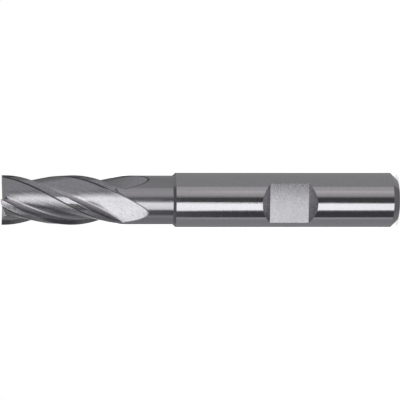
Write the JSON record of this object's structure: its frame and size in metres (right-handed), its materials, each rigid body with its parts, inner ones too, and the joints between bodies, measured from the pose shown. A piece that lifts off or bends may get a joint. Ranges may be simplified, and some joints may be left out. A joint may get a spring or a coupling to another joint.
{
  "type": "end mill",
  "caption": "One-piece square-end helical-flute end mill with relieved neck, stepped-up shank and a side-lock clamping flat, standing on its shank end.",
  "frame": {"origin": "centre of the shank's rear face, on the tool's axis", "axes": "+Z runs along the tool's axis from the shank to the cutting end, and the clamping flat faces -Y"},
  "size_m": [0.01, 0.01, 0.072],
  "materials": {
    "ground_carbide": "fine-ground bright carbide"
  },
  "bodies": {
    "root": {"end_mill": "ground_carbide"}
  },
  "joints": []
}
